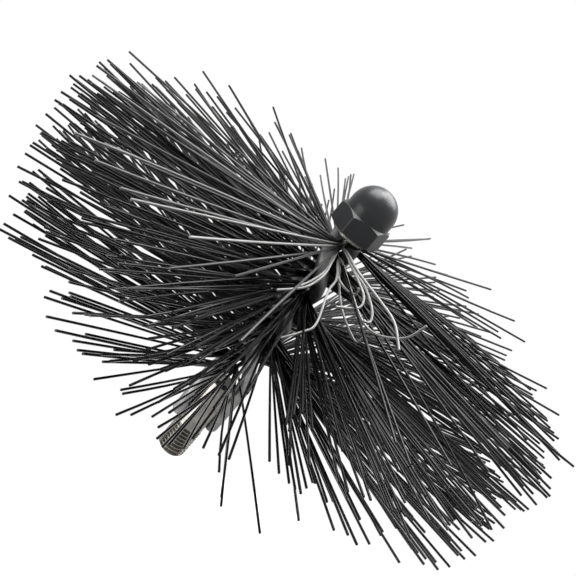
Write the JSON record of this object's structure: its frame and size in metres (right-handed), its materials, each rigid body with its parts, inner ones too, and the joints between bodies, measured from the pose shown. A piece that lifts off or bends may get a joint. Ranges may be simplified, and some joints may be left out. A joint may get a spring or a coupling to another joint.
{
  "type": "threaded nylon brush",
  "caption": "Twisted-wire sweeping brush with stiff radial nylon bristles, a threaded stud for a rod at the rear and a domed acorn nut at the front.",
  "frame": {"origin": "centre of the rear stud's end face, where the sweeping rod is screwed on", "axes": "+Z along the brush axis from the rear stud to the acorn nut, +X through the straight end of core wire a, +Y completing the right-handed frame"},
  "size_m": [0.224, 0.2272, 0.1386],
  "materials": {
    "zinc_steel": "satin zinc",
    "wire_steel": "drawn wire",
    "black_steel": "satin black",
    "nylon": "satin black"
  },
  "bodies": {
    "core": {"rear_stud": "zinc_steel", "core_wire_a": "wire_steel", "core_wire_b": "wire_steel", "front_stud": "zinc_steel", "tuft_a_01": "nylon", "tuft_a_02": "nylon", "tuft_a_03": "nylon", "tuft_a_04": "nylon", "tuft_a_05": "nylon", "tuft_a_06": "nylon", "tuft_a_07": "nylon", "tuft_a_08": "nylon", "tuft_a_09": "nylon", "tuft_a_10": "nylon", "tuft_a_11": "nylon", "tuft_a_12": "nylon", "tuft_a_13": "nylon", "tuft_a_14": "nylon", "tuft_a_15": "nylon", "tuft_a_16": "nylon", "tuft_a_17": "nylon", "tuft_a_18": "nylon", "tuft_a_19": "nylon", "tuft_a_20": "nylon", "tuft_b_01": "nylon", "tuft_b_02": "nylon", "tuft_b_03": "nylon", "tuft_b_04": "nylon", "tuft_b_05": "nylon", "tuft_b_06": "nylon", "tuft_b_07": "nylon", "tuft_b_08": "nylon", "tuft_b_09": "nylon", "tuft_b_10": "nylon", "tuft_b_11": "nylon", "tuft_b_12": "nylon", "tuft_b_13": "nylon", "tuft_b_14": "nylon", "tuft_b_15": "nylon", "tuft_b_16": "nylon", "tuft_b_17": "nylon", "tuft_b_18": "nylon", "tuft_b_19": "nylon", "tuft_b_20": "nylon"},
    "nut": {"acorn_nut": "black_steel"}
  },
  "joints": [
    {"name": "nut_turn", "type": "hinge", "parent": "core", "child": "nut", "pos_m": [0, 0, 0.1186], "axis": [0, 0, 1], "range_deg": [0, 2160]}
  ]
}
